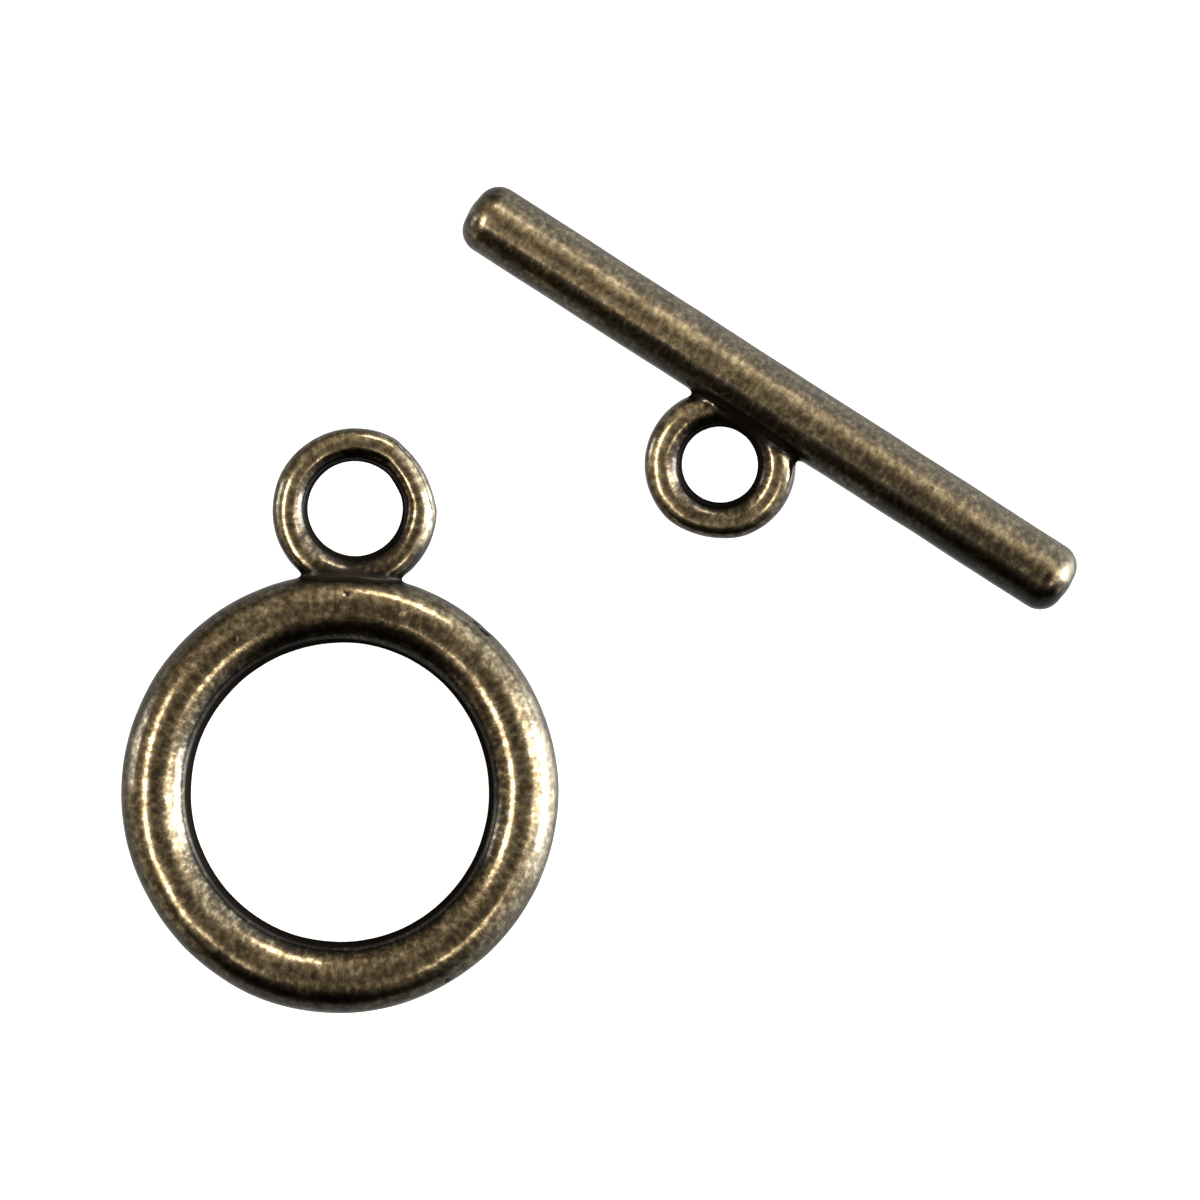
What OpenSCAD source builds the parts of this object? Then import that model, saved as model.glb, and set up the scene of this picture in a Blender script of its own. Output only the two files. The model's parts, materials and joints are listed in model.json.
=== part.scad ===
// Two-part toggle clasp for a necklace or bracelet, in cast and antiqued metal.
// One half is a ring with an eyelet on its rim, the other a bar with an eyelet at its middle.
// The bar is threaded through the ring and turned across it, and a strand ties on at each eyelet.
// Each half is one casting. They lie loose on a table, the bar half up and to the right of the ring.
// Millimetres. +Z is up from the table, +X and +Y are right and up in the plan view.
// The origin is on the table, under the middle of the plan's bounding box.

/* [Toggle ring] */
// Width of the opening that the bar is threaded through
ring_hole_d = 10.2; // [8:0.1:14]
// Thickness of the ring's round section
ring_wire_d = 2.4; // [1.9:0.1:3.2]

/* [Ring eyelet] */
// Width of the eyelet's hole, for a jump ring or a strand's loop
ring_eye_hole_d = 3.25; // [2.4:0.05:4.5]
// Thickness of the eyelet's round section
ring_eye_wire_d = 1.2; // [1:0.05:1.6]
// How far the eyelet is sunk into the ring's outline
ring_eye_sink = 0.6; // [0.4:0.05:0.8]
// How far round the rim the eyelet stands from +Y, clockwise in degrees
ring_eye_lean = 3; // [0:0.5:20]

/* [Toggle bar] */
// Length of the bar over its crowned ends
bar_len = 24.3; // [20:0.1:32]
// Thickness of the bar's round section
bar_d = 2.45; // [2.1:0.05:3.2]
// Radius of the rounded edge at each end of the bar
bar_edge_r = 0.8; // [0.3:0.05:1]
// Radius of the shallow crown on each end of the bar
bar_crown_r = 2.6; // [2:0.1:6]

/* [Bar eyelet] */
// Width of the eyelet's hole, for a jump ring or a strand's loop
bar_eye_hole_d = 2.6; // [2.2:0.05:4]
// Thickness of the eyelet's round section
bar_eye_wire_d = 1.3; // [1.05:0.05:1.6]
// How far the eyelet is sunk into the bar's outline
bar_eye_sink = 0.95; // [0.7:0.05:1]
// How far the eyelet stands from the middle of the bar, towards its upper end
bar_eye_offset = 0.2; // [0:0.05:1]

/* [Casting] */
// Length of the straight wall at the narrowest part of each eyelet's hole
eye_land = 0.36; // [0.2:0.02:0.5]
// Radius of the cast fillet in the corners where an eyelet meets its ring or bar
fillet_r = 0.3; // [0.2:0.05:0.4]
// Thickness of the cast fillet, across the plane of the eyelet
fillet_thick = 0.5; // [0.3:0.05:0.6]

/* [Layout on the table] */
// Gap between the ring's rim and the bar's eyelet, as the two halves lie
halves_gap = 7.15; // [3:0.05:12]
// Direction from the ring's middle to the bar's eyelet, in degrees from +X
halves_bearing = 40.8; // [30:0.1:60]
// Heading of the bar, in degrees from +X
bar_heading = -32.7; // [-50:0.1:-28]

/* [Hidden] */
$fn = 96;
antique_brass = [0.43, 0.36, 0.23];

// How deep the fillet's hollow reaches into the round sections it joins, so that its ends don't show
fillet_bite = 0.06;
// How far the bar's rounded edge stands proud of its crown, so that the two arcs cross and don't just touch
edge_proud = 0.001;

// Ring half, about the middle of its ring, in the plane of the ring
ring_wire_r = ring_wire_d / 2;
ring_mid_r = ring_hole_d / 2 + ring_wire_r;
ring_out_r = ring_mid_r + ring_wire_r;
ring_eye_wire_r = ring_eye_wire_d / 2;
ring_eye_mid_r = eye_mid_r(ring_eye_hole_d / 2, ring_eye_wire_r);
ring_eye_out_r = ring_eye_mid_r + ring_eye_wire_r;
ring_eye_reach = ring_out_r + ring_eye_out_r - ring_eye_sink;

// Bar half, about the middle of its bar, with the bar along X and the eyelet on the -Y side
bar_r = bar_d / 2;
bar_eye_wire_r = bar_eye_wire_d / 2;
bar_eye_mid_r = eye_mid_r(bar_eye_hole_d / 2, bar_eye_wire_r);
bar_eye_out_r = bar_eye_mid_r + bar_eye_wire_r;
bar_eye_reach = bar_r + bar_eye_out_r - bar_eye_sink;

// The rounded edge of the bar's end runs smoothly into its side and its crown
edge_from_axis = bar_r - bar_edge_r;
crown_at = bar_len / 2 - bar_crown_r;
edge_at = crown_at + sqrt(pow(bar_crown_r - bar_edge_r + edge_proud, 2) - pow(edge_from_axis, 2));

// The bar half rests on the side of its bar and tips until its eyelet's far rim touches the table
bar_tip = asin((bar_r - bar_eye_wire_r) / (bar_eye_reach + bar_eye_mid_r));

// Plan of both halves, with the ring's middle at zero
bar_eye_place = (ring_out_r + bar_eye_out_r + halves_gap) * heading(halves_bearing);
bar_place = bar_eye_place + bar_eye_offset * heading(bar_heading)
    + bar_eye_reach * cos(bar_tip) * heading(bar_heading + 90);
ring_eye_place = ring_eye_reach * heading(90 - ring_eye_lean);
bar_half_size = [
    edge_at * abs(cos(bar_heading)) + edge_from_axis * abs(sin(bar_heading)) + bar_edge_r,
    edge_at * abs(sin(bar_heading)) + edge_from_axis * abs(cos(bar_heading)) + bar_edge_r
];
ring_size = [ring_out_r, ring_out_r];
ring_eye_size = [ring_eye_out_r, ring_eye_out_r];
plan_low = [for (i = [0, 1]) min(-ring_size[i], ring_eye_place[i] - ring_eye_size[i],
    bar_place[i] - bar_half_size[i])];
plan_high = [for (i = [0, 1]) max(ring_size[i], ring_eye_place[i] + ring_eye_size[i],
    bar_place[i] + bar_half_size[i])];
plan_middle = (plan_low + plan_high) / 2;

// Unit vector in the plan, at an angle from +X
function heading(angle) = [cos(angle), sin(angle)];

// How far the land cuts into an eyelet's round section
function land_bite(wire_r) = wire_r - sqrt(wire_r * wire_r - eye_land * eye_land / 4);

// Radius of the circle that the middle of an eyelet's round section follows
function eye_mid_r(hole_r, wire_r) = hole_r + wire_r - land_bite(wire_r);

// Eyelet about Z: a round section whose inner wall is straight for the length of the land
module eyelet(hole_r, wire_r)
    rotate_extrude()
        difference() {
            translate([eye_mid_r(hole_r, wire_r), 0])
                circle(wire_r);
            translate([0, -wire_r])
                square([hole_r, 2 * wire_r]);
        }

// Cast fillet in one corner: a web between the middles of two round sections, hollowed by its circle
module corner_fillet(middle, from, to)
    linear_extrude(fillet_thick, center = true)
        difference() {
            polygon([from, middle, to]);
            translate(middle)
                circle(fillet_r);
        }

// Ring with its eyelet on +Y
module ring_casting() {
    from_ring = ring_out_r + fillet_r - fillet_bite;
    from_eye = ring_eye_out_r + fillet_r - fillet_bite;
    up = (pow(ring_eye_reach, 2) + pow(from_ring, 2) - pow(from_eye, 2)) / (2 * ring_eye_reach);
    across = sqrt(pow(from_ring, 2) - pow(up, 2));
    eye_middle = [0, ring_eye_reach];
    rotate_extrude()
        translate([ring_mid_r, 0])
            circle(ring_wire_r);
    translate(eye_middle)
        eyelet(ring_eye_hole_d / 2, ring_eye_wire_r);
    for (side = [-1, 1]) {
        middle = [side * across, up];
        corner_fillet(middle, middle * ring_mid_r / from_ring,
            eye_middle + (middle - eye_middle) * ring_eye_mid_r / from_eye);
    }
}

// Half of the bar's lengthwise section, from its axis out, with the bar's length along Y
module bar_section() {
    translate([0, -edge_at])
        square([bar_r, 2 * edge_at]);
    for (end = [0, 1])
        mirror([0, end]) {
            intersection() {
                translate([edge_from_axis, edge_at])
                    circle(bar_edge_r);
                translate([0, edge_at - bar_d])
                    square(2 * bar_d);
            }
            intersection() {
                translate([0, crown_at])
                    circle(bar_crown_r);
                polygon([[0, crown_at], [0, bar_len], (bar_len - crown_at) / (edge_at - crown_at)
                    * [edge_from_axis, edge_at - crown_at] + [0, crown_at]]);
            }
        }
}

// Bar along X with its eyelet on the -Y side
module bar_casting() {
    from_side = bar_r + fillet_r - fillet_bite;
    from_eye = bar_eye_out_r + fillet_r - fillet_bite;
    across = sqrt(pow(from_eye, 2) - pow(bar_eye_reach - from_side, 2));
    eye_middle = [-bar_eye_offset, -bar_eye_reach];
    rotate([90, 0, 90])
        rotate_extrude()
            bar_section();
    translate(eye_middle)
        eyelet(bar_eye_hole_d / 2, bar_eye_wire_r);
    for (side = [-1, 1]) {
        middle = [eye_middle.x + side * across, -from_side];
        corner_fillet(middle, [middle.x, 0],
            eye_middle + (middle - eye_middle) * bar_eye_mid_r / from_eye);
    }
}

// Ring half, flat on its ring
module toggle_ring()
    color(antique_brass)
        translate([-plan_middle.x, -plan_middle.y, ring_wire_r])
            rotate([0, 0, -ring_eye_lean])
                ring_casting();

// Bar half, on the side of its bar and the rim of its eyelet
module toggle_bar()
    color(antique_brass)
        translate([bar_place.x - plan_middle.x, bar_place.y - plan_middle.y, bar_r])
            rotate([0, 0, bar_heading])
                rotate([bar_tip, 0, 0])
                    bar_casting();

toggle_ring();
toggle_bar();
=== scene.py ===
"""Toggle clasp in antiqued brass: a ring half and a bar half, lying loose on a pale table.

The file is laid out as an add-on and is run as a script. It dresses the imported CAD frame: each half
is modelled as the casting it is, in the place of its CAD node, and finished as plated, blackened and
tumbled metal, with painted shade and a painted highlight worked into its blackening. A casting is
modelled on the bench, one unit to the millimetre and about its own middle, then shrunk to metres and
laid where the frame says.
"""
import json
import math
from collections import namedtuple

import bpy
import numpy as np
from mathutils import Euler, Matrix, Vector


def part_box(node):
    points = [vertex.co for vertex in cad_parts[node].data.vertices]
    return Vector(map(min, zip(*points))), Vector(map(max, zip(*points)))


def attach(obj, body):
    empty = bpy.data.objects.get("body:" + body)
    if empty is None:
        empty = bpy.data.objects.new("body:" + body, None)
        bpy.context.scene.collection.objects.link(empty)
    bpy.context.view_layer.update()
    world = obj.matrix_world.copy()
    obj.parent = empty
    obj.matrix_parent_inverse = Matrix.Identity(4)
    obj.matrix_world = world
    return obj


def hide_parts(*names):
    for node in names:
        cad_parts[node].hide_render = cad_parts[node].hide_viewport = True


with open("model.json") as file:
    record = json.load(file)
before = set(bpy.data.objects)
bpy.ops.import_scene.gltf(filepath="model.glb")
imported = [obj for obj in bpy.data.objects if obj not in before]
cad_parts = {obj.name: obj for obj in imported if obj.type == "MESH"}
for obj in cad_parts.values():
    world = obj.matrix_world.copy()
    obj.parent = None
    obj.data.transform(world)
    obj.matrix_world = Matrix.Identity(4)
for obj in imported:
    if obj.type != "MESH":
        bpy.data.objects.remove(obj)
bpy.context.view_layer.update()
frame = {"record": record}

bl_info = {
    "name": "Toggle Clasp",
    "version": (1, 0, 0),
    "blender": (4, 5, 0),
    "location": "3D View > Sidebar > Clasp",
    "description": "Models a ring and bar toggle clasp in antiqued brass",
    "category": "Add Mesh",
}

MM = 0.001

# What the frame says of each half, in metres
MOUNTS = {mount["name"]: mount for mount in frame["record"]["mounts"]}
RING_LOW, RING_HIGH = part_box("toggle_ring")
BAR_LOW, BAR_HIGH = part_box("toggle_bar")
RING_D = RING_HIGH.x - RING_LOW.x
RING_WIRE_D = RING_HIGH.z - RING_LOW.z
BAR_D = BAR_HIGH.z - BAR_LOW.z
RING_MIDDLE = Vector(((RING_LOW.x + RING_HIGH.x) / 2, RING_LOW.y + RING_D / 2, RING_WIRE_D / 2))
BAR_MIDDLE = Vector(((BAR_LOW.x + BAR_HIGH.x) / 2, (BAR_LOW.y + BAR_HIGH.y) / 2, BAR_D / 2))
RING_EYE_MIDDLE = Vector(MOUNTS["ring_eyelet"]["pos_m"])
BAR_EYE_MIDDLE = Vector(MOUNTS["bar_eyelet"]["pos_m"])
BAR_EYE_AXIS = Vector(MOUNTS["bar_eyelet"]["axis"])
RING_EYE_HOLE_D = 2 * MOUNTS["ring_eyelet"]["dims"]["r_mm"] * MM
BAR_EYE_HOLE_D = 2 * MOUNTS["bar_eyelet"]["dims"]["r_mm"] * MM

# On the bench, in millimetres: how wide the facets of each skin are, how far the cast corner of a joint
# reaches and how often it is smoothed, and the length and height of the waves in the skin
RING_GRAIN = 0.0725
BAR_GRAIN = 0.07
CORNER_REACH = 0.5
CORNER_PASSES = 50
WAVES = ((1.8, 0.03), (0.5, 0.005))
# The radius of the edge round each end of the bar, how far the end is crowned, and how much the bar's
# crest stands high
BAR_EDGE_R = 0.8
BAR_CROWN = 0.05
BAR_CREST_RISE = 0.05
# The crest of each hoop's section stands a little outwards of its middle, as a share of the wire's
# radius: least on one axis of the plan and most on the other, which is turned this far from upright
RING_CREST_OUT = (0.0, 0.05)
RING_EYE_CREST_OUT = (0.03, 0.15)
BAR_EYE_CREST_OUT = (0.05, 0.1)
CREST_TURN = math.radians(-15)
# How many times as high as a round section's the crest of the ring's eyelet stands
RING_EYE_CREST_UP = 1.06

# Blackening in a hoop's hole, oxide with painted shade on it, as shares of the wire's radius inwards:
# where it starts, where it is fullest, and how full
RING_HOLE_OXIDE_AND_SHADE = (0.3, 0.85, 0.5)
EYELET_HOLE_OXIDE_AND_SHADE = (-0.05, 0.35, 0.75)
# How much further tumbling has rubbed the crests of the slimmer eyelets
EYELET_RUB = 0.4
# Round which bearing on the ring, from +X on the bench, painted shade darkens its outer side
PAINTED_SHADE_BEARING = math.radians(-102)
# How matt the ring's rim is left, and the bar's side away from its eyelet, and how much less matt the
# side with the eyelet is
RIM_MATT = 0.2
BAR_MATT = 0.16
BAR_MATT_LESS = 0.08
# Grains of the finish in millimetres: rubbed specks, slow blotches and the grit under the plating
SPECK = 0.2
BLOTCH = 1.1
GRIT = 0.09
# How deep that grain is, in millimetres
RELIEF = 0.0022
# Marks in the ring's skin: the bearing and the angle outwards from the crest, in degrees, then the width
# and the depth in millimetres, and how black it is
RING_MARKS = (
    # Two that make one nick in the rim
    (51, 77.5, 0.33, 0.13, 1.5),
    (54, 79, 0.26, 0.09, 1.1),
    # Pits
    (127, 2, 0.13, 0.04, 0.9),
    (90.6, 25, 0.12, 0.04, 0.9),
    (265, 0, 0.12, 0.03, 0.8),
    (303, 63, 0.14, 0.04, 0.8),
    # A raised fleck, rubbed bright
    (73.5, 10, 0.13, -0.03, -2.5),
)
# How finely each primitive is divided before it is shaped
HOOP_SEGMENTS = 192
WIRE_SEGMENTS = 64
ROD_SEGMENTS = 96
EDGE_SEGMENTS = 10
# How far off a vertex may be and still count as lying in a place, in millimetres
SLACK = 1e-3

# The photograph's frame: how wide it is at the middle of the wires, and where its middle lies from the
# ring's middle
PHOTO_WIDE = 41.143 * MM
RING_TO_PHOTO = Vector((8.921 * MM, 6.61 * MM, 0))

# A mark in the skin: where it lies, how wide it is, how deep, and how black, with less than 0 for bright
Mark = namedtuple("Mark", "place size depth black")
# A round wire bent into a hoop, and a straight round rod along X, both in millimetres on the bench
Hoop = namedtuple("Hoop", "middle mid_r wire_r")
Rod = namedtuple("Rod", "length radius")
# A lamp by where it stands, as degrees from +X and from straight up, how wide and high it looks from the
# clasp, also in degrees, how strong it is, and its colour
Lamp = namedtuple("Lamp", "name bearing from_top wide high strength colour")
# A part of the room that brightens or dims smoothly with one of the ways below: between which shares of
# that way, and from and to what level
Ramp = namedtuple("Ramp", "way low high from_level to_level")

# How wide the table is and how far off all the lamps stand, in metres
TABLE_WIDE = 1.6
LAMP_AWAY = 0.5
# Softboxes and cards
LAMPS = (
    Lamp("window", 0, 77, 32, 28, 23, "F4F8FF"),
    Lamp("window_head", 4, 46, 22, 24, 10, "FFF6EA"),
    Lamp("ceiling_lamp", 187, 36, 34, 10, 18, "FFF4E2"),
    Lamp("lamp_end", -133, 31, 18, 9, 2.5, "FFF4E2"),
    Lamp("far_lamp", 73, 52, 19, 10, 18, "FFF4E2"),
    Lamp("near_lamp", -52, 34, 13, 10, 7.3, "FFF4E2"),
    Lamp("white_card", 170, 90, 18, 26, 3.8, "F4F8FF"),
    Lamp("left_wall", -158, 86, 46, 30, 0.5, "FFF0D8"),
)
# Ways to look in the room
WAYS = {
    "up": (0.0, 0.0, 1.0),
    "to_window": (0.97, 0.24, 0.0),
    "to_sill": (0.97, 0.05, -0.24),
    "to_near": (-0.2, -0.98, 0.0),
}
# Cool light comes in by the window and off the board in front of it. Warm light comes from the ceiling
# round a darker patch straight above, less from the walls, and little from the near side
ROOM = {
    "glow": Ramp("to_window", 0.25, 1.0, 0.0, 2.2),
    "on_board": Ramp("up", -0.8, 0.1, 0.5, 1.3),
    "sill": Ramp("to_sill", 0.85, 1.0, 0.0, 7.0),
    "board": Ramp("up", 0.15, -0.3, 0.0, 0.5),
    "ceiling": Ramp("up", 0.86, 1.0, 1.0, 0.42),
    "wall": Ramp("up", -0.1, 0.7, 0.15, 1.0),
    "shade": Ramp("to_near", 0.18, 0.82, 1.0, 0.01),
}
ROOM_COOL = "F2F8FF"
ROOM_WARM = "FFF0D8"


def linear(hex_colour):
    """Linear RGB of an sRGB hex colour."""
    parts = [int(hex_colour[i:i + 2], 16) / 255 for i in (0, 2, 4)]
    return tuple(p / 12.92 if p <= 0.04045 else ((p + 0.055) / 1.055) ** 2.4 for p in parts)


class ClaspSizes(bpy.types.PropertyGroup):
    ring_d: bpy.props.FloatProperty(
        name="Ring width", description="Outside diameter of the ring",
        default=RING_D, min=0.008, max=0.04, unit="LENGTH", subtype="DISTANCE")
    ring_wire_d: bpy.props.FloatProperty(
        name="Ring thickness", description="Diameter of the ring's round section",
        default=RING_WIRE_D, min=0.001, max=0.005, unit="LENGTH", subtype="DISTANCE")
    ring_eye_hole_d: bpy.props.FloatProperty(
        name="Ring eyelet hole", description="Width of the hole in the ring's eyelet",
        default=RING_EYE_HOLE_D, min=0.001, max=0.006, unit="LENGTH", subtype="DISTANCE")
    ring_eye_wire_d: bpy.props.FloatProperty(
        name="Ring eyelet thickness", description="Diameter of the round section of the ring's eyelet",
        default=0.0012, min=0.0006, max=0.003, unit="LENGTH", subtype="DISTANCE")
    bar_len: bpy.props.FloatProperty(
        name="Bar length", description="Length of the bar over its crowned ends",
        default=0.0243, min=0.01, max=0.05, unit="LENGTH", subtype="DISTANCE")
    bar_d: bpy.props.FloatProperty(
        name="Bar thickness", description="Diameter of the bar",
        default=BAR_D, min=0.001, max=0.005, unit="LENGTH", subtype="DISTANCE")
    bar_eye_hole_d: bpy.props.FloatProperty(
        name="Bar eyelet hole", description="Width of the hole in the bar's eyelet",
        default=BAR_EYE_HOLE_D, min=0.001, max=0.006, unit="LENGTH", subtype="DISTANCE")
    bar_eye_wire_d: bpy.props.FloatProperty(
        name="Bar eyelet thickness", description="Diameter of the round section of the bar's eyelet",
        default=0.0013, min=0.0006, max=0.003, unit="LENGTH", subtype="DISTANCE")
    bar_heading: bpy.props.FloatProperty(
        name="Bar heading", description="Direction the bar lies in, from +X",
        default=math.radians(-32.7), unit="ROTATION", subtype="ANGLE")


class ClaspFinish(bpy.types.PropertyGroup):
    rubbed: bpy.props.FloatVectorProperty(
        name="Rubbed brass", description="Plating where tumbling has taken the blackening off",
        default=linear("A0957B"), size=3, min=0, max=1, subtype="COLOR")
    worn: bpy.props.FloatVectorProperty(
        name="Toned brass", description="Plating with a thin film of blackening left on",
        default=linear("3F3421"), size=3, min=0, max=1, subtype="COLOR")
    # The blackening colour is also the colour that the painted shade darkens to
    oxide: bpy.props.FloatVectorProperty(
        name="Blackening", description="Oxide left in the corners and hollows",
        default=linear("1A1713"), size=3, min=0, max=1, subtype="COLOR")
    roughness: bpy.props.FloatProperty(
        name="Roughness", description="How matt the tumbled plating is",
        default=0.18, min=0.05, max=1, subtype="FACTOR")


class ClaspStage(bpy.types.PropertyGroup):
    floor: bpy.props.FloatVectorProperty(
        name="Floor", description="Colour of the paper the clasp lies on",
        default=linear("A0A09F"), size=3, min=0, max=1, subtype="COLOR")
    light: bpy.props.FloatProperty(
        name="Light", description="Strength of all the lamps together",
        default=1.0, min=0, max=10, subtype="FACTOR")
    view_height: bpy.props.FloatProperty(
        name="Camera height", description="How high the camera hangs over the table",
        default=0.25, min=0.1, max=2, unit="LENGTH", subtype="DISTANCE")


# Mesh work on the bench

def start_clean():
    """Leave edit mode and drop the selection, so that an operator meets only what is picked next."""
    if bpy.context.object and bpy.context.object.mode != "OBJECT":
        bpy.ops.object.mode_set(mode="OBJECT")
    bpy.ops.object.select_all(action="DESELECT")


def vertex_places(piece):
    """Places of a mesh's vertices, one row each, also while it is being edited."""
    piece.update_from_editmode()
    flat = np.empty(3 * len(piece.data.vertices))
    piece.data.vertices.foreach_get("co", flat)
    return flat.reshape(-1, 3)


def pick(piece, mask):
    """Enter edit mode with only the vertices of the mask selected."""
    bpy.ops.object.mode_set(mode="EDIT")
    bpy.ops.mesh.select_mode(type="VERT")
    bpy.ops.mesh.select_all(action="DESELECT")
    bpy.ops.object.mode_set(mode="OBJECT")
    piece.data.vertices.foreach_set("select", mask)
    bpy.ops.object.mode_set(mode="EDIT")


def apply_modifier(piece, kind, **settings):
    """Add a modifier with its settings and apply it."""
    modifier = piece.modifiers.new(kind.lower(), kind)
    for name, value in settings.items():
        setattr(modifier, name, value)
    bpy.context.view_layer.objects.active = piece
    bpy.ops.object.modifier_apply(modifier=modifier.name)


def off_form(places, form):
    """How far each place is off the skin of a hoop, or off the side of a rod along X."""
    if isinstance(form, Rod):
        return np.hypot(places[:, 1], places[:, 2]) - form.radius
    flat = places - np.array(form.middle)
    return np.hypot(np.hypot(flat[:, 0], flat[:, 1]) - form.mid_r, flat[:, 2]) - form.wire_r


def make_hoop(name, hoop, crest_out, crest_up=1):
    """Round hoop of round wire, with its upper skin a little outwards of the wire's middle, and raised."""
    start_clean()
    bpy.ops.mesh.primitive_torus_add(
        major_radius=hoop.mid_r, minor_radius=hoop.wire_r, major_segments=HOOP_SEGMENTS,
        minor_segments=WIRE_SEGMENTS)
    piece = bpy.context.object
    piece.name = name
    # A band of skin beside each crest spreads outwards, and then the crests themselves are raised
    up = np.abs(vertex_places(piece)[:, 2]) / hoop.wire_r
    pick(piece, (up > 0.82) & (up < 0.92))
    spread = [1 + share * hoop.wire_r / hoop.mid_r for share in crest_out]
    bpy.ops.transform.resize(
        value=(*spread, 1), center_override=(0, 0, 0), use_proportional_edit=True,
        proportional_edit_falloff="SMOOTH", proportional_size=0.8 * hoop.wire_r)
    pick(piece, np.abs(vertex_places(piece)[:, 2]) > 0.98 * hoop.wire_r)
    bpy.ops.transform.resize(
        value=(1, 1, crest_up), center_override=(0, 0, 0), use_proportional_edit=True,
        proportional_edit_falloff="SMOOTH", proportional_size=1.2 * hoop.wire_r)
    bpy.ops.object.mode_set(mode="OBJECT")
    piece.matrix_world = Matrix.Translation(hoop.middle) @ Matrix.Rotation(CREST_TURN, 4, "Z")
    bpy.ops.object.transform_apply(location=True, rotation=True, scale=True)
    return piece


def on_hoop(hoop, bearing, out):
    """Place on a hoop at a bearing in its plan and an angle outwards from its crest, in degrees."""
    side, lean = math.radians(bearing), math.radians(out)
    reach = hoop.mid_r + hoop.wire_r * math.sin(lean)
    return Vector(hoop.middle) + Vector((
        reach * math.cos(side), reach * math.sin(side), hoop.wire_r * math.cos(lean)))


def nudge(piece, spot, reach, move, size, falloff="SMOOTH"):
    """Push what lies within reach of a spot, and with a falloff what lies round it, as a whole."""
    pick(piece, np.linalg.norm(vertex_places(piece) - np.array(spot), axis=1) < reach)
    bpy.ops.transform.translate(
        value=move, use_proportional_edit=True, proportional_edit_falloff=falloff, proportional_size=size)
    bpy.ops.object.mode_set(mode="OBJECT")


def swell(piece, spot, reach, height, size):
    """Swell the skin along its own normals round a spot, or hollow it where the height is negative."""
    pick(piece, np.linalg.norm(vertex_places(piece) - np.array(spot), axis=1) < reach)
    bpy.ops.transform.shrink_fatten(
        value=height, use_proportional_edit=True, proportional_edit_falloff="SMOOTH", proportional_size=size)
    bpy.ops.object.mode_set(mode="OBJECT")


def shift_hole(piece, hoop, move):
    """Move the hole of a hoop in its plan and leave the rim where it is."""
    flat = vertex_places(piece) - np.array(hoop.middle)
    pick(piece, np.hypot(flat[:, 0], flat[:, 1]) < hoop.mid_r - 0.9 * hoop.wire_r)
    bpy.ops.transform.translate(
        value=move, use_proportional_edit=True, proportional_edit_falloff="SMOOTH",
        proportional_size=1.5 * hoop.wire_r)
    bpy.ops.object.mode_set(mode="OBJECT")


def make_rod(name, rod, edge_r, crown, rise):
    """Round rod along X with rounded edges, slightly crowned ends, and a crest that stands a little high."""
    start_clean()
    side = rod.length - 2 * crown
    bpy.ops.mesh.primitive_cylinder_add(
        vertices=ROD_SEGMENTS, radius=rod.radius, depth=side, rotation=(0, math.pi / 2, 0))
    piece = bpy.context.object
    piece.name = name
    bpy.ops.object.transform_apply(location=True, rotation=True, scale=True)
    bpy.ops.object.mode_set(mode="EDIT")
    bpy.ops.mesh.select_all(action="SELECT")
    bpy.ops.mesh.bisect(plane_co=(0, 0, 0), plane_no=(1, 0, 0))
    pick(piece, np.abs(vertex_places(piece)[:, 0]) > side / 2 - SLACK)
    bpy.ops.mesh.bevel(offset=edge_r, segments=EDGE_SEGMENTS, profile=0.5, affect="EDGES")
    for end in (-1, 1):
        places = vertex_places(piece)
        inner = np.hypot(places[:, 1], places[:, 2]) < rod.radius - edge_r + SLACK
        pick(piece, inner & (end * places[:, 0] > side / 2 - SLACK))
        bpy.ops.mesh.inset(thickness=(rod.radius - edge_r) / 2)
        bpy.ops.transform.translate(value=(end * crown * 0.75, 0, 0))
        bpy.ops.mesh.inset(thickness=(rod.radius - edge_r) / 4)
        bpy.ops.transform.translate(value=(end * crown * 0.25, 0, 0))
    bpy.ops.object.mode_set(mode="OBJECT")
    pick(piece, vertex_places(piece)[:, 2] > 0.96 * rod.radius)
    bpy.ops.transform.translate(
        value=(0, 0, rise), use_proportional_edit=True, proportional_edit_falloff="SMOOTH",
        proportional_size=1.2 * rod.radius)
    bpy.ops.object.mode_set(mode="OBJECT")
    return piece


def fuse(piece, eyelet, grain):
    """Cast an eyelet onto its ring or rod as one skin with even facets of the given size."""
    apply_modifier(piece, "BOOLEAN", object=eyelet, operation="UNION", solver="EXACT")
    bpy.data.objects.remove(eyelet)
    apply_modifier(piece, "REMESH", mode="VOXEL", voxel_size=grain, adaptivity=0)
    apply_modifier(piece, "SMOOTH", factor=0.5, iterations=3)


def fill_corners(piece, body, eyelet):
    """Round out the corner where a body and its eyelet meet, most where both skins are nearest."""
    places = vertex_places(piece)
    off = np.maximum(np.abs(off_form(places, body)), np.abs(off_form(places, eyelet)))
    group = piece.vertex_groups.new(name="joint_corner")
    for i in np.flatnonzero(off < CORNER_REACH):
        group.add([int(i)], 1 - float(off[i]) / CORNER_REACH, "REPLACE")
    apply_modifier(piece, "SMOOTH", factor=0.5, iterations=CORNER_PASSES, vertex_group=group.name)


def cast_waves(piece):
    """Give the skin the slow waves of a casting."""
    for length, height in WAVES:
        wave = bpy.data.textures.new("casting_wave", "CLOUDS")
        wave.noise_scale = length
        wave.noise_depth = 1
        apply_modifier(
            piece, "DISPLACE", texture=wave, texture_coords="LOCAL", strength=height, mid_level=0.5)


def strike(piece, marks, tarnish_and_shade):
    """Dent the skin at each mark, and return the tarnish with what is caught there or rubbed off there."""
    for mark in marks:
        swell(piece, mark.place, mark.size / 2, -mark.depth, mark.size)
        off = np.linalg.norm(vertex_places(piece) - np.array(mark.place), axis=1)
        tarnish_and_shade = tarnish_and_shade + mark.black * near(off, mark.size, mark.size / 3)
    return tarnish_and_shade


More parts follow.
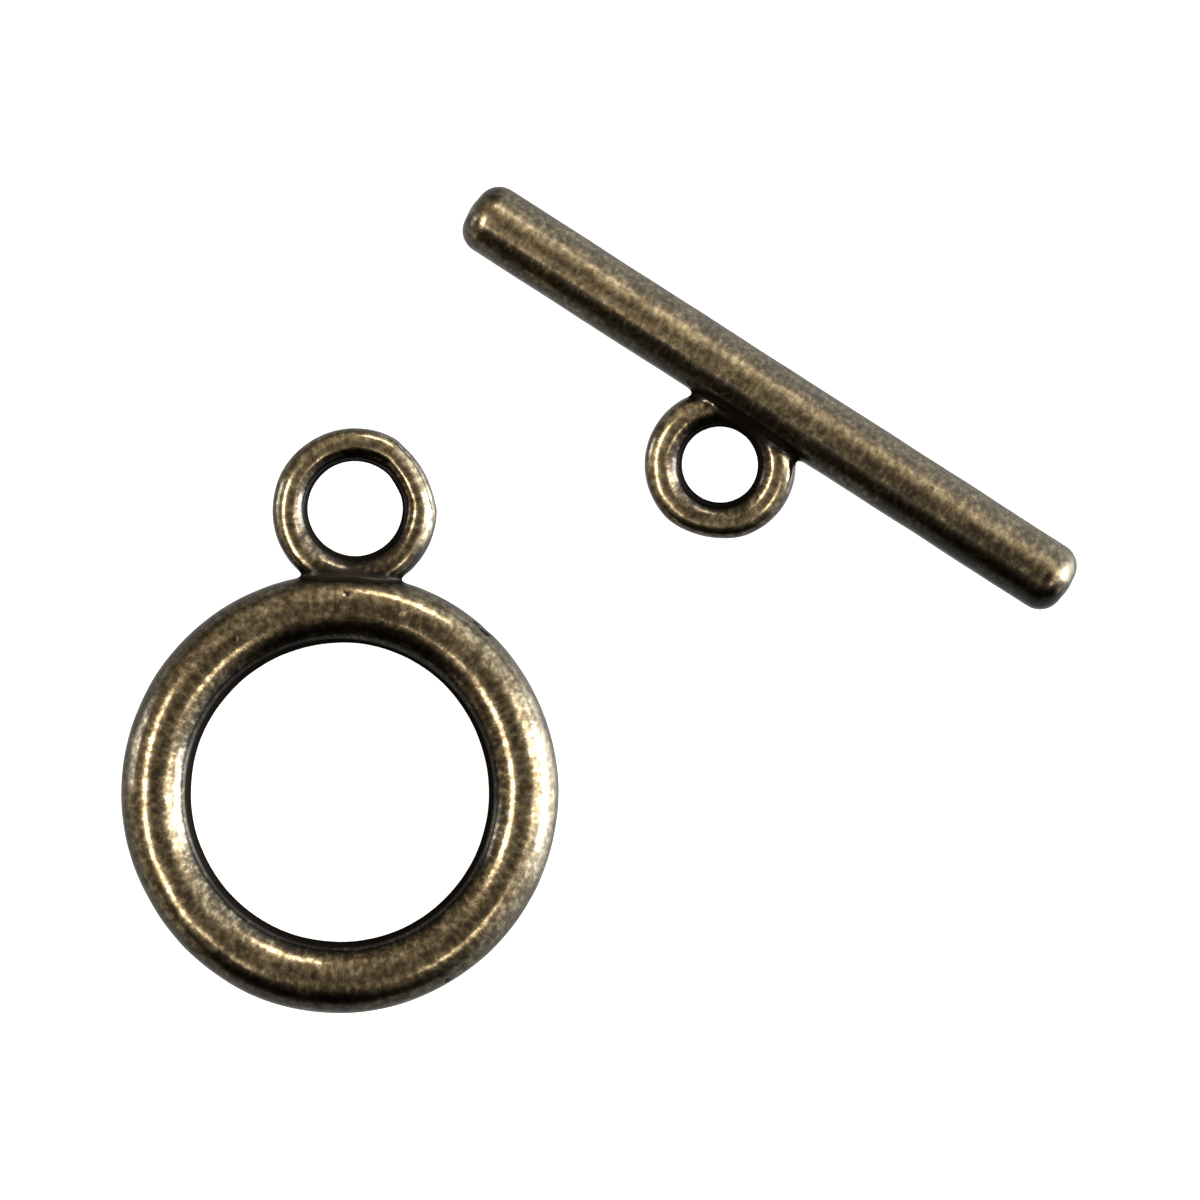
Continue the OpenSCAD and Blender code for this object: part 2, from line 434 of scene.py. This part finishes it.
def lay(piece, place, node):
    """Shrink a casting from the bench to metres, lay it in its node's place and hand it to the frame."""
    start_clean()
    piece.select_set(True)
    bpy.context.view_layer.objects.active = piece
    piece.matrix_world = place @ Matrix.Scale(MM, 4)
    bpy.ops.object.transform_apply(location=True, rotation=True, scale=True)
    bpy.ops.object.shade_smooth()
    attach(piece, "root")
    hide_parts(node)


# Blackening, wear, painted shade and a painted highlight, by where each vertex lies

def finish_skin(piece, lie, tarnish_and_shade, matt):
    """Keep on each vertex what the finish reads: where it lies, how black and how matt. Then finish it."""
    for name, values in (("lie", lie), ("tarnish_and_shade", tarnish_and_shade), ("matt", matt)):
        kind, field = ("FLOAT_VECTOR", "vector") if values.ndim > 1 else ("FLOAT", "value")
        attribute = piece.data.attributes.new(name, kind, "POINT")
        attribute.data.foreach_set(field, np.ascontiguousarray(values, dtype=np.float32).ravel())
    piece.data.materials.append(antiqued_brass())


def hoop_lie(places, hoop):
    """Where each place lies on a hoop: two numbers round it and one round its section."""
    flat = places - np.array(hoop.middle)
    out = np.hypot(flat[:, 0], flat[:, 1])
    round_it = flat[:, :2] / out[:, None] * hoop.mid_r
    section = np.arctan2(out - hoop.mid_r, flat[:, 2]) * hoop.wire_r
    return np.column_stack([round_it, section])


def rod_lie(places, rod):
    """Where each place lies on a rod: along it, nothing, and round its section.

    A place on one of its ends stays as it is.
    """
    section = np.arctan2(places[:, 1], places[:, 2]) * rod.radius
    along = np.column_stack([places[:, 0], np.zeros(len(places)), section])
    on_end = np.hypot(places[:, 1], places[:, 2]) < 0.8 * rod.radius
    return np.where(on_end[:, None], places, along)


def step(values, low, high):
    """Smooth step of each value from 0 at low to 1 at high."""
    t = np.clip((values - low) / (high - low), 0, 1)
    return t * t * (3 - 2 * t)


def near(off, reach, full):
    """Smooth step from 1 where something is nearer than full to 0 where it is past reach."""
    return step(-off, -reach, -full)


def band(values, middle, reach, full):
    """Smooth band round a middle value: 1 within full of it, and 0 past reach."""
    return near(np.abs(values - middle), reach, full)


def outwards(places, hoop):
    """How far outwards of the wire's middle each place lies, from -1 in the hole to 1 on the rim."""
    flat = places - np.array(hoop.middle)
    return (np.hypot(flat[:, 0], flat[:, 1]) - hoop.mid_r) / hoop.wire_r


def hoop_oxide_and_shade(places, hoop, in_hole, rub):
    """Darkening of a hoop: oxide and painted shade in its hole, painted shade on its outer flank, less on
    its crest.
    """
    out = outwards(places, hoop)
    start, full, most = in_hole
    # Oxide with painted shade in the hole, and painted shade on the outer flank for the darker reflection
    # there
    film = np.maximum(most * step(-out, start, full), 0.25 * step(out, 0.6, 0.95))
    # A dark painted rim deep in the hole, standing in for the shade it reflects there
    film = film + 0.9 * step(-out, 0.76, 0.95)
    return film - rub * step(np.abs(places[:, 2] - hoop.middle[2]) / hoop.wire_r, 0.6, 0.95)


def rod_toning_and_painted_light(places, rod, eye_x):
    """A thin even toning on a rod, with painted shade on the side that its eyelet shelters, on its shoulder
    and in two bands on its far side, and a painted highlight along its crest at one end.
    """
    # From -1 on the side away from the eyelet to 1 on the eyelet's, and from -0.5 to 0.5 end to end
    low = -places[:, 1] / rod.radius
    along = places[:, 0] / rod.length
    # Painted shade on the eyelet's side, round the eyelet and towards one end
    sheltered = 0.4 * step(low, 0.2, 0.9) * band(places[:, 0], eye_x, 7, 3)
    eyelet_side = np.maximum(0.45 * step(low, -0.4, 0.15) * step(along, -0.1, 0.35), sheltered)
    # Painted shade on the shoulder, which dims a highlight there
    shoulder = 0.5 * band(low, 0.24, 0.32, 0.05)
    # Two bands of painted shade on the far side
    far_side = 0.26 * band(low, -0.66, 0.3, 0.1) + 0.15 * band(low, -0.16, 0.15, 0.04)
    # A painted highlight: less darkening along the crest towards one end
    crest = 0.5 * band(low, 0.06, 0.18, 0.04) * step(-along, -0.1, 0.35)
    return 0.05 + np.maximum(eyelet_side, shoulder) + far_side - crest


def ring_painted_shade(places, hoop):
    """Painted shade on the outer side of the ring, strongest round one bearing."""
    out = outwards(places, hoop)
    towards = np.cos(np.arctan2(places[:, 1], places[:, 0]) - PAINTED_SHADE_BEARING)
    return 0.43 * step(out, 0.15, 0.4) * near(out, 0.75, 0.5) * step(towards, 0.86, 0.99)


def joint_corner(off_a, off_b):
    """Blackening in the joint of two sections, and most of it right in the crease."""
    off = np.maximum(off_a, off_b)
    return 0.4 * near(off, 0.6, 0.2) + 0.52 * near(off, 0.36, 0.2)


def both_darkenings(film, corner):
    """Darkening of the open skin, oxide with painted shade, and of a corner together, where neither adds to
    what is black.
    """
    return film + corner * (1 - np.clip(film, 0, 1))


# Finish

def add_node(tree, kind, settings=None, sockets=None):
    """Add a node with its settings. A socket gets a value, or another node's output as a link."""
    made = tree.nodes.new(kind)
    for name, value in (settings or {}).items():
        setattr(made, name, value)
    for name, value in (sockets or {}).items():
        if isinstance(value, bpy.types.NodeSocket):
            tree.links.new(value, made.inputs[name])
        else:
            made.inputs[name].default_value = value
    return made


def antiqued_brass():
    """Antiqued brass: a zinc casting, brass plated, blackened, then tumbled until the crests come up.

    To the eye it is a dark olive metal with a fine speckle of rubbed gold, near black in the corners
    and in the eyelets, with a thin clear lacquer that whitens the sheen on its steep sides. Its darkening
    also carries painted shade, and a painted highlight on the bar.
    """
    finish = bpy.context.scene.clasp_finish
    made = bpy.data.materials.get("antiqued_brass")
    if made:
        return made
    made = bpy.data.materials.new("antiqued_brass")
    made.use_nodes = True
    tree = made.node_tree
    tree.nodes.clear()

    # Places in millimetres: on the casting, and round and across its wire
    place = add_node(tree, "ShaderNodeTexCoord").outputs["Object"]
    in_mm = add_node(tree, "ShaderNodeVectorMath", {"operation": "SCALE"},
                     {0: place, "Scale": 1 / MM}).outputs[0]
    lie = add_node(tree, "ShaderNodeAttribute", {"attribute_name": "lie"}).outputs["Vector"]
    # The tarnish attribute carries oxide and wear together with painted shade and a painted highlight
    tarnish_and_shade = add_node(tree, "ShaderNodeAttribute", {"attribute_name": "tarnish_and_shade"}).outputs["Fac"]
    matt = add_node(tree, "ShaderNodeAttribute", {"attribute_name": "matt"}).outputs["Fac"]
    # Tumbling leaves specks of a tenth of a millimetre, a little longer across the wire than round it
    across = add_node(tree, "ShaderNodeVectorMath", {"operation": "MULTIPLY"},
                      {0: lie, 1: (1, 1, 0.8)}).outputs[0]

    speckle = add_node(tree, "ShaderNodeTexNoise", {"noise_dimensions": "3D"},
                       {"Vector": across, "Scale": 1 / SPECK, "Detail": 2.0, "Roughness": 0.6}).outputs[0]
    blotch = add_node(tree, "ShaderNodeTexNoise", {"noise_dimensions": "3D"},
                      {"Vector": in_mm, "Scale": 1 / BLOTCH, "Detail": 2.0, "Roughness": 0.5}).outputs[0]
    grit = add_node(tree, "ShaderNodeTexNoise", {"noise_dimensions": "3D"},
                    {"Vector": in_mm, "Scale": 1 / GRIT, "Detail": 2.0, "Roughness": 0.6}).outputs[0]

    wear = add_node(tree, "ShaderNodeMath", {"operation": "MULTIPLY_ADD"},
                    {0: blotch, 1: 0.4, 2: speckle}).outputs[0]
    # What is left matt is also rubbed more evenly
    evened = add_node(tree, "ShaderNodeMath", {"operation": "MULTIPLY"}, {0: matt, 1: 2.2}).outputs[0]
    wear = add_node(tree, "ShaderNodeMix", {}, {0: evened, 2: wear, 3: 0.7}).outputs[0]
    left_on = add_node(tree, "ShaderNodeMath", {"operation": "MULTIPLY_ADD"},
                       {0: tarnish_and_shade, 1: -0.2, 2: wear}).outputs[0]
    rub = add_node(tree, "ShaderNodeMapRange", {},
                   {"Value": left_on, "From Min": 0.46, "From Max": 0.99}).outputs[0]
    rub = add_node(tree, "ShaderNodeMath", {"operation": "POWER"}, {0: rub, 1: 2.0}).outputs[0]
    # The blackening and the painted shade fade out smoothly, with the speckle only breaking up their edge
    broken = add_node(tree, "ShaderNodeMath", {"operation": "MULTIPLY_ADD"},
                      {0: wear, 1: -1.05, 2: tarnish_and_shade}).outputs[0]
    black = add_node(tree, "ShaderNodeMapRange", {"interpolation_type": "SMOOTHSTEP"},
                     {"Value": broken, "From Min": -0.75, "From Max": 0.08}).outputs[0]
    # The heaviest darkening, oxide and painted shade, turns rough and loses its lacquer
    heavy_oxide_and_shade = add_node(tree, "ShaderNodeMapRange", {"interpolation_type": "SMOOTHSTEP"},
                    {"Value": tarnish_and_shade, "From Min": 0.7, "From Max": 1.1}).outputs[0]

    plated = add_node(tree, "ShaderNodeMix", {"data_type": "RGBA"},
                      {0: rub, 6: (*finish.worn, 1), 7: (*finish.rubbed, 1)}).outputs[2]
    colour = add_node(tree, "ShaderNodeMix", {"data_type": "RGBA"},
                      {0: black, 6: plated, 7: (*finish.oxide, 1)}).outputs[2]
    sheen = add_node(tree, "ShaderNodeMix", {"data_type": "RGBA"},
                     {0: heavy_oxide_and_shade, 6: (0.8, 0.79, 0.77, 1), 7: (0.12, 0.115, 0.1, 1)}).outputs[2]
    smooth_to = add_node(tree, "ShaderNodeMapRange", {},
                         {"Value": wear, "From Min": 0.5, "From Max": 0.9,
                          "To Min": finish.roughness + 0.045, "To Max": finish.roughness + 0.005}).outputs[0]
    matt_to = add_node(tree, "ShaderNodeMath", {"operation": "MULTIPLY_ADD"},
                       {0: heavy_oxide_and_shade, 1: 0.4, 2: matt}).outputs[0]
    roughness = add_node(tree, "ShaderNodeMath", {"operation": "ADD"},
                         {0: smooth_to, 1: matt_to}).outputs[0]
    lacquer = add_node(tree, "ShaderNodeMapRange", {},
                       {"Value": heavy_oxide_and_shade, "To Min": 0.35, "To Max": 0.0}).outputs[0]

    relief = add_node(tree, "ShaderNodeMath", {"operation": "MULTIPLY_ADD"},
                      {0: grit, 1: 0.35, 2: speckle}).outputs[0]
    bump = add_node(tree, "ShaderNodeBump", {},
                    {"Strength": 1.0, "Distance": RELIEF * MM, "Height": relief}).outputs[0]
    # The lacquer's roughness is one value all over, so it stands on the shader itself
    shader = add_node(tree, "ShaderNodeBsdfPrincipled", {},
                      {"Base Color": colour, "Metallic": 1.0, "Roughness": roughness,
                       "Normal": bump, "Specular Tint": sheen,
                       "Coat Weight": lacquer, "Coat Roughness": 0.2}).outputs[0]
    add_node(tree, "ShaderNodeOutputMaterial", {}, {"Surface": shader})
    return made


# Stage

def lay_table(stage):
    """Lay a pale matt board under the clasp."""
    start_clean()
    bpy.ops.mesh.primitive_plane_add(size=TABLE_WIDE)
    table = bpy.context.object
    table.name = "table"
    paper = bpy.data.materials.new("matt_board")
    paper.use_nodes = True
    tree = paper.node_tree
    tree.nodes.clear()
    shader = add_node(tree, "ShaderNodeBsdfPrincipled", {},
                      {"Base Color": (*stage.floor, 1), "Roughness": 0.9, "Specular IOR Level": 0.0,
                       "Emission Color": (1, 1, 1, 1), "Emission Strength": 0.92}).outputs[0]
    add_node(tree, "ShaderNodeOutputMaterial", {}, {"Surface": shader})
    table.data.materials.append(paper)
    # The bright board stays out of the metal's reflections, where the room's lower half stands for it
    table.visible_glossy = False


def stand_lamps(stage):
    """Stand the lamps round the clasp, each facing it and as bright for its size as it should look."""
    for lamp in LAMPS:
        top, side = math.radians(lamp.from_top), math.radians(lamp.bearing)
        towards = Vector((math.sin(top) * math.cos(side), math.sin(top) * math.sin(side), math.cos(top)))
        turn = Euler((top, 0, side + math.pi / 2))
        bpy.ops.object.light_add(type="AREA", location=towards * LAMP_AWAY, rotation=turn)
        light = bpy.context.object
        light.name = lamp.name
        light.visible_camera = False
        light.data.shape = "RECTANGLE"
        light.data.size = 2 * LAMP_AWAY * math.tan(math.radians(lamp.wide / 2))
        light.data.size_y = 2 * LAMP_AWAY * math.tan(math.radians(lamp.high / 2))
        light.data.color = linear(lamp.colour)
        light.data.energy = 4 * lamp.strength * stage.light * light.data.size * light.data.size_y


def light_room(scene):
    """Give the room its soft light, cool from the window and warm from the ceiling and walls."""
    air = bpy.data.worlds.new("room")
    scene.world = air
    air.use_nodes = True
    tree = air.node_tree
    tree.nodes.clear()
    look = add_node(tree, "ShaderNodeTexCoord").outputs["Generated"]
    ways = {
        name: add_node(tree, "ShaderNodeVectorMath", {"operation": "DOT_PRODUCT"},
                       {0: look, 1: way}).outputs["Value"]
        for name, way in WAYS.items()}
    room = {
        name: add_node(tree, "ShaderNodeMapRange", {"interpolation_type": "SMOOTHSTEP"},
                       {"Value": ways[ramp.way], "From Min": ramp.low, "From Max": ramp.high,
                        "To Min": ramp.from_level, "To Max": ramp.to_level}).outputs[0]
        for name, ramp in ROOM.items()}
    by_window = add_node(tree, "ShaderNodeMath", {"operation": "MULTIPLY_ADD"},
                         {0: room["glow"], 1: room["on_board"], 2: room["sill"]}).outputs[0]
    cool_level = add_node(tree, "ShaderNodeMath", {"operation": "ADD"},
                          {0: room["board"], 1: by_window}).outputs[0]
    overhead = add_node(tree, "ShaderNodeMath", {"operation": "MULTIPLY"},
                        {0: room["ceiling"], 1: room["wall"]}).outputs[0]
    warm_level = add_node(tree, "ShaderNodeMath", {"operation": "MULTIPLY"},
                          {0: overhead, 1: room["shade"]}).outputs[0]
    cool = add_node(tree, "ShaderNodeBackground", {},
                    {"Color": (*linear(ROOM_COOL), 1), "Strength": cool_level}).outputs[0]
    warm = add_node(tree, "ShaderNodeBackground", {},
                    {"Color": (*linear(ROOM_WARM), 1), "Strength": warm_level}).outputs[0]
    back = add_node(tree, "ShaderNodeAddShader", {}, {0: cool, 1: warm}).outputs[0]
    add_node(tree, "ShaderNodeOutputWorld", {}, {"Surface": back})


def hang_camera(scene):
    """Hang the camera straight over the photograph's middle, looking down."""
    height = scene.clasp_stage.view_height
    over = RING_MIDDLE + RING_TO_PHOTO
    bpy.ops.object.camera_add(location=(over.x, over.y, height), rotation=(0, 0, 0))
    camera = bpy.context.object
    camera.name = "camera"
    camera.data.sensor_width = 36
    camera.data.lens = camera.data.sensor_width * (height - RING_MIDDLE.z) / PHOTO_WIDE
    camera.data.clip_start = 0.01
    scene.camera = camera
    scene.view_settings.view_transform = "Standard"


# Operators for the pieces and the stage

class CLASP_OT_ring_casting(bpy.types.Operator):
    """Cast the ring half: a round ring with a small eyelet on its rim"""
    bl_idname = "clasp.ring_casting"
    bl_label = "Ring Casting"
    bl_options = {"REGISTER", "UNDO"}

    def execute(self, context):
        sizes = context.scene.clasp_sizes
        wire_r = sizes.ring_wire_d / 2 / MM
        ring = Hoop((0, 0, 0), sizes.ring_d / 2 / MM - wire_r, wire_r)
        eye_wire_r = sizes.ring_eye_wire_d / 2 / MM
        to_eye = RING_EYE_MIDDLE - RING_MIDDLE
        eyelet = Hoop((0, to_eye.length / MM, 0), sizes.ring_eye_hole_d / 2 / MM + eye_wire_r, eye_wire_r)
        lean = Vector((0, 1)).angle_signed(to_eye.xy)

        casting = make_hoop("ring_casting", ring, RING_CREST_OUT)
        # The wire is a little thicker on the side away from the eyelet, and pulled out beside the eyelet
        far_rim = on_hoop(ring, 265, 90)
        swell(casting, far_rim, reach=1.2, height=0.035, size=6)
        nudge(casting, far_rim, reach=1.2, move=(-0.003, -0.035, 0), size=6)
        nudge(casting, on_hoop(ring, 68, 0), reach=1.2, move=(0.02, 0.05, 0), size=5)
        ring_eyelet = make_hoop("ring_eyelet", eyelet, RING_EYE_CREST_OUT, RING_EYE_CREST_UP)
        # The hole sits towards the tip, and the rim is flattened on one side where the sprue was cut off
        shift_hole(ring_eyelet, eyelet, move=(0.01, 0.06, 0))
        nudge(ring_eyelet, on_hoop(eyelet, 33, 90), reach=0.2, move=(-0.08, -0.05, 0), size=1.2,
              falloff="SPHERE")
        fuse(casting, ring_eyelet, RING_GRAIN)
        fill_corners(casting, ring, eyelet)
        cast_waves(casting)

        places = vertex_places(casting)
        off_ring, off_eye = off_form(places, ring), off_form(places, eyelet)
        on_eye = off_eye < off_ring
        lie = np.where(on_eye[:, None], hoop_lie(places, eyelet), hoop_lie(places, ring))
        # Painted shade on the near half of the eyelet's rim, next to the ring
        painted_shade_by_ring = 0.65 * near(off_ring, 2.4, 0.4) * step(outwards(places, eyelet), -0.3, 0.2)
        eyelet_oxide_and_shade = both_darkenings(hoop_oxide_and_shade(places, eyelet, EYELET_HOLE_OXIDE_AND_SHADE, EYELET_RUB), painted_shade_by_ring)
        ring_oxide_and_shade = hoop_oxide_and_shade(places, ring, RING_HOLE_OXIDE_AND_SHADE, 0) + ring_painted_shade(places, ring)
        film = np.where(on_eye, eyelet_oxide_and_shade, ring_oxide_and_shade)
        matt = np.where(on_eye, 0, RIM_MATT * step(outwards(places, ring), 0.6, 0.9))
        marks = [
            Mark(on_hoop(ring, bearing, out), size, depth, black)
            for bearing, out, size, depth, black in RING_MARKS]
        tarnish_and_shade = strike(casting, marks, both_darkenings(film, joint_corner(off_ring, off_eye)))
        finish_skin(casting, lie, tarnish_and_shade, matt)
        lay(casting, Matrix.Translation(RING_MIDDLE) @ Matrix.Rotation(-lean, 4, "Z"), "toggle_ring")
        return {"FINISHED"}


class CLASP_OT_bar_casting(bpy.types.Operator):
    """Cast the bar half: a straight round bar with crowned ends and an eyelet at its middle"""
    bl_idname = "clasp.bar_casting"
    bl_label = "Bar Casting"
    bl_options = {"REGISTER", "UNDO"}

    def execute(self, context):
        sizes = context.scene.clasp_sizes
        tip = BAR_EYE_AXIS.angle(Vector((0, 0, 1)))
        place = (Matrix.Translation(BAR_MIDDLE) @ Matrix.Rotation(sizes.bar_heading, 4, "Z")
                 @ Matrix.Rotation(tip, 4, "X"))
        rod = Rod(sizes.bar_len / MM, sizes.bar_d / 2 / MM)
        eye_wire_r = sizes.bar_eye_wire_d / 2 / MM
        eye_middle = (place.inverted() @ BAR_EYE_MIDDLE) / MM
        eyelet = Hoop(tuple(eye_middle), sizes.bar_eye_hole_d / 2 / MM + eye_wire_r, eye_wire_r)

        casting = make_rod("bar_casting", rod, BAR_EDGE_R, BAR_CROWN, BAR_CREST_RISE)
        bar_eyelet = make_hoop("bar_eyelet", eyelet, BAR_EYE_CREST_OUT)
        # The far rim is worn a little flat
        nudge(bar_eyelet, on_hoop(eyelet, 290, 90), reach=0.3, move=(-0.02, 0.06, 0), size=1.3)
        fuse(casting, bar_eyelet, BAR_GRAIN)
        fill_corners(casting, rod, eyelet)
        cast_waves(casting)

        places = vertex_places(casting)
        off_bar, off_eye = off_form(places, rod), off_form(places, eyelet)
        on_eye = off_eye < off_bar
        lie = np.where(on_eye[:, None], hoop_lie(places, eyelet), rod_lie(places, rod))
        # Oxide with painted shade on the eyelet; toning, painted shade and a painted highlight on the rod
        film = np.where(
            on_eye, hoop_oxide_and_shade(places, eyelet, EYELET_HOLE_OXIDE_AND_SHADE, EYELET_RUB),
            rod_toning_and_painted_light(places, rod, eye_middle.x))
        bar_matt = BAR_MATT - BAR_MATT_LESS * step(-places[:, 1] / rod.radius, -0.15, 0.1)
        # Two pits, one near an end and one on the far shoulder
        marks = (
            Mark((11.25, 0.11, rod.radius), size=0.13, depth=0.04, black=0.9),
            Mark((6.3, 0.5, 1.12), size=0.1, depth=0.03, black=0.7),
        )
        tarnish_and_shade = strike(casting, marks, both_darkenings(film, 1.2 * joint_corner(off_bar, off_eye)))
        finish_skin(casting, lie, tarnish_and_shade, np.where(on_eye, 0, bar_matt))
        lay(casting, place, "toggle_bar")
        return {"FINISHED"}


class CLASP_OT_stage(bpy.types.Operator):
    """Set the table, the soft lights and the camera that hangs straight over the clasp"""
    bl_idname = "clasp.stage"
    bl_label = "Stage"
    bl_options = {"REGISTER", "UNDO"}

    def execute(self, context):
        lay_table(context.scene.clasp_stage)
        stand_lamps(context.scene.clasp_stage)
        light_room(context.scene)
        hang_camera(context.scene)
        return {"FINISHED"}


class CLASP_PT_panel(bpy.types.Panel):
    """Lists the clasp's sizes, finish and pieces"""
    bl_label = "Toggle Clasp"
    bl_idname = "CLASP_PT_panel"
    bl_space_type = "VIEW_3D"
    bl_region_type = "UI"
    bl_category = "Clasp"

    def draw(self, context):
        for group in ("clasp_sizes", "clasp_finish", "clasp_stage"):
            box = self.layout.box()
            settings = getattr(context.scene, group)
            for name in settings.__annotations__:
                box.prop(settings, name)
        for operator in OPERATORS:
            self.layout.operator(operator.bl_idname)


OPERATORS = (CLASP_OT_stage, CLASP_OT_ring_casting, CLASP_OT_bar_casting)
CLASSES = (ClaspSizes, ClaspFinish, ClaspStage, *OPERATORS, CLASP_PT_panel)


def register():
    for made in CLASSES:
        bpy.utils.register_class(made)
    bpy.types.Scene.clasp_sizes = bpy.props.PointerProperty(type=ClaspSizes)
    bpy.types.Scene.clasp_finish = bpy.props.PointerProperty(type=ClaspFinish)
    bpy.types.Scene.clasp_stage = bpy.props.PointerProperty(type=ClaspStage)


def unregister():
    del bpy.types.Scene.clasp_stage
    del bpy.types.Scene.clasp_finish
    del bpy.types.Scene.clasp_sizes
    for made in reversed(CLASSES):
        bpy.utils.unregister_class(made)


def main():
    """Make the stage and both castings."""
    register()
    bpy.ops.clasp.stage()
    bpy.ops.clasp.ring_casting()
    bpy.ops.clasp.bar_casting()


if __name__ == "__main__":
    main()
